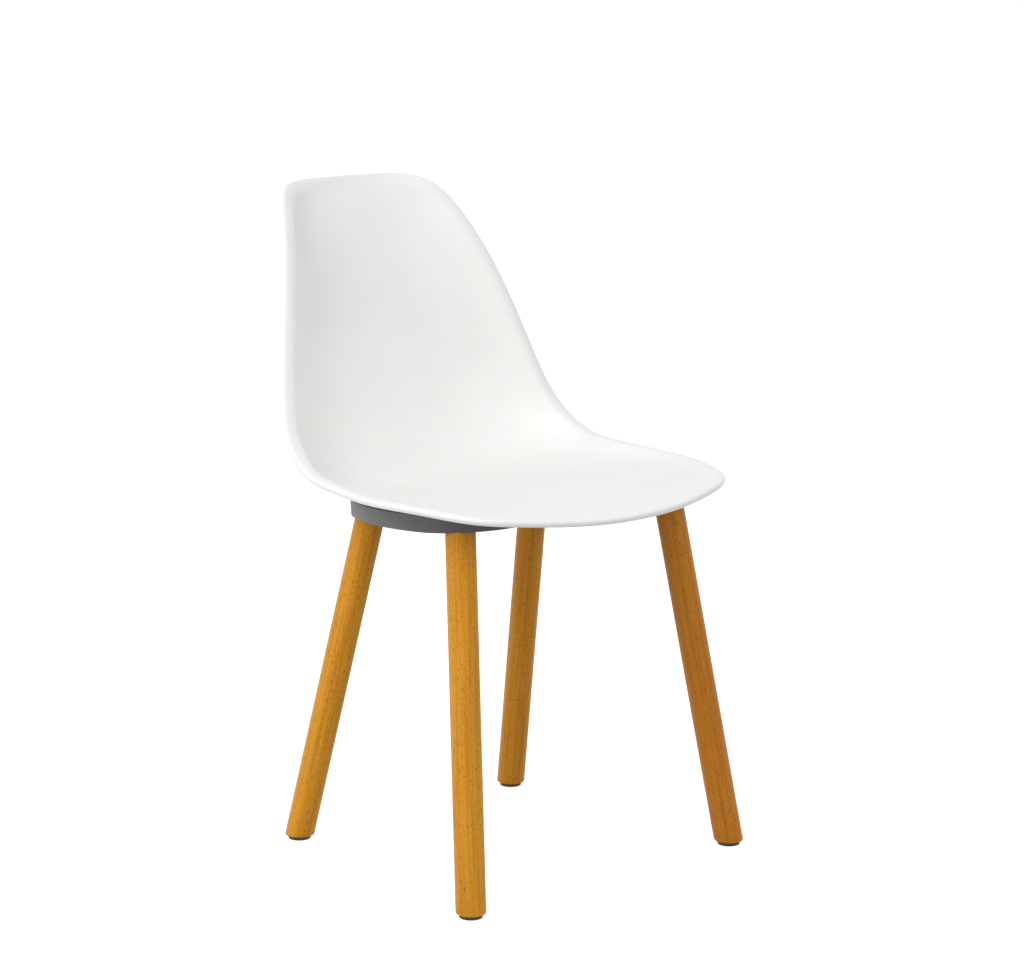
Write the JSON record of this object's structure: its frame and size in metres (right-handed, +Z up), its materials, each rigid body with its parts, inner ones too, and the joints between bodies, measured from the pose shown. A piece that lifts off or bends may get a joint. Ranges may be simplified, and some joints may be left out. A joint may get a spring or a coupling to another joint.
{
  "type": "moulded shell chair",
  "caption": "One-piece moulded plastic shell chair on a grey under-seat tray with splayed round wooden legs and plastic foot glides.",
  "frame": {"origin": "on the floor, under the middle of the chair's width and depth", "axes": "+Z up, -Y the way the sitter faces, +X the sitter's left"},
  "size_m": [0.4708, 0.5428, 0.7905],
  "materials": {
    "shell_plastic": "fine satin off-white polypropylene",
    "base_plastic": "grey glass-filled nylon, fine matte",
    "leg_wood": "clear-lacquered golden hardwood dowel",
    "glide_plastic": "near-black nylon",
    "insert_brass": "turned brass",
    "fastener_steel": "bright zinc-plated steel"
  },
  "bodies": {
    "root": {"seat_shell": "shell_plastic", "underseat_base": "base_plastic", "leg_front_left": "leg_wood", "leg_front_right": "leg_wood", "leg_rear_left": "leg_wood", "leg_rear_right": "leg_wood", "glide_front_left": "glide_plastic", "glide_front_right": "glide_plastic", "glide_rear_left": "glide_plastic", "glide_rear_right": "glide_plastic", "shell_inserts": "insert_brass", "seat_screws": "fastener_steel", "seat_screw_washers": "fastener_steel", "leg_inserts": "fastener_steel", "leg_bolts": "fastener_steel", "leg_bolt_washers": "fastener_steel", "glide_screws": "fastener_steel"}
  },
  "joints": []
}
